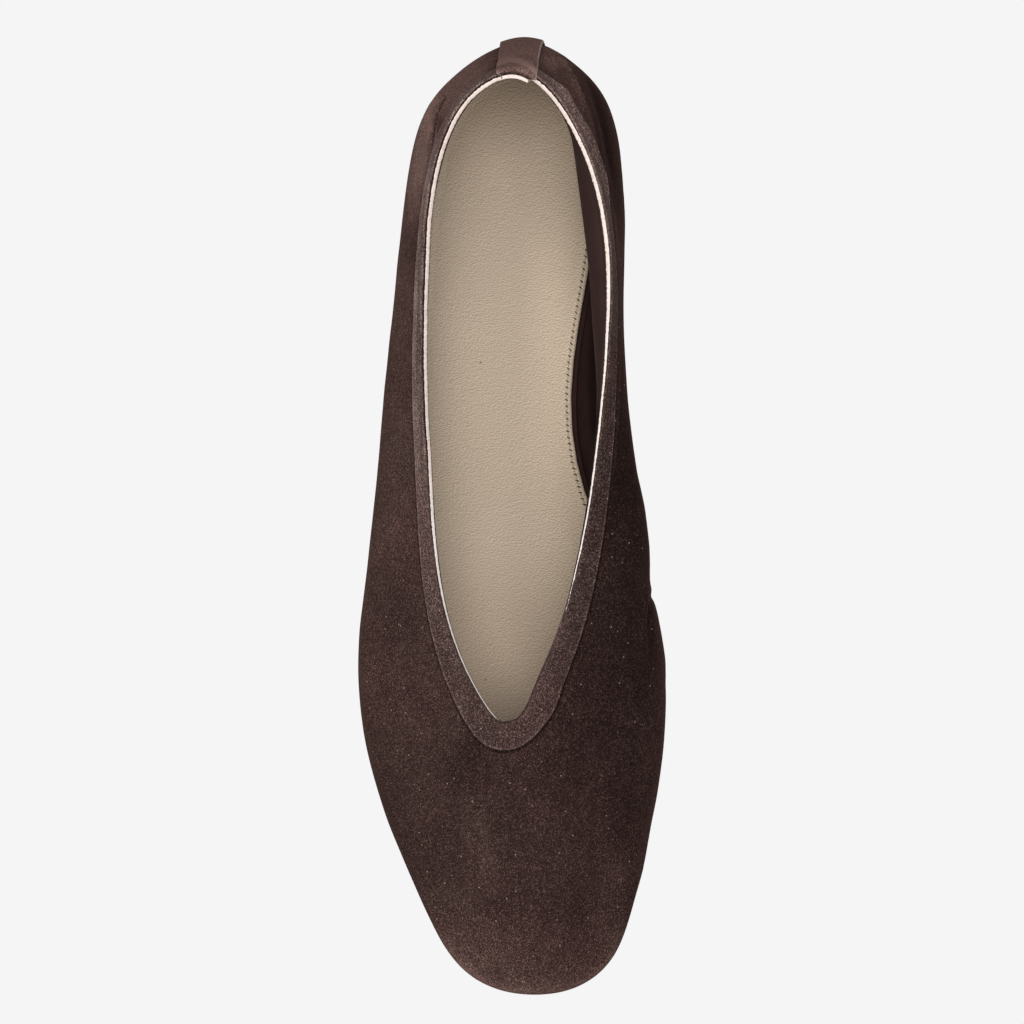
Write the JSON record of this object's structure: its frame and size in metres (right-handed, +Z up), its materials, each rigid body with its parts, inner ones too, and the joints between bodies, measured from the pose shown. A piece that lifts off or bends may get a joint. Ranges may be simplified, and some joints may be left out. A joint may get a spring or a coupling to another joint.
{
  "type": "flat shoe",
  "caption": "Low-cut slip-on flat for the right foot, with a V throat, a raised band round the topline, a folded heel tab and a thin sole on a low heel.",
  "frame": {"origin": "middle of the shoe's bounding box, at the floor it stands on", "axes": "+Y towards the back of the heel and -Y towards the toe, +X towards the inner (medial) side of the foot, +Z up"},
  "size_m": [0.0806, 0.25, 0.0598],
  "materials": {
    "upper_suede": "dark brown suede with a short brushed nap",
    "band_suede": "dark brown suede, brushed lighter, with a raw cream cut edge",
    "tab_suede": "dark brown suede with a raw cream cut edge",
    "insole_leather": "smooth beige leather with a fine grain",
    "sole_leather": "smooth tan sole leather",
    "heel_stack": "dark stacked leather"
  },
  "bodies": {
    "root": {"upper": "upper_suede", "topline_band": "band_suede", "heel_tab": "tab_suede", "insole": "insole_leather", "outsole": "sole_leather", "heel": "heel_stack"}
  },
  "joints": []
}
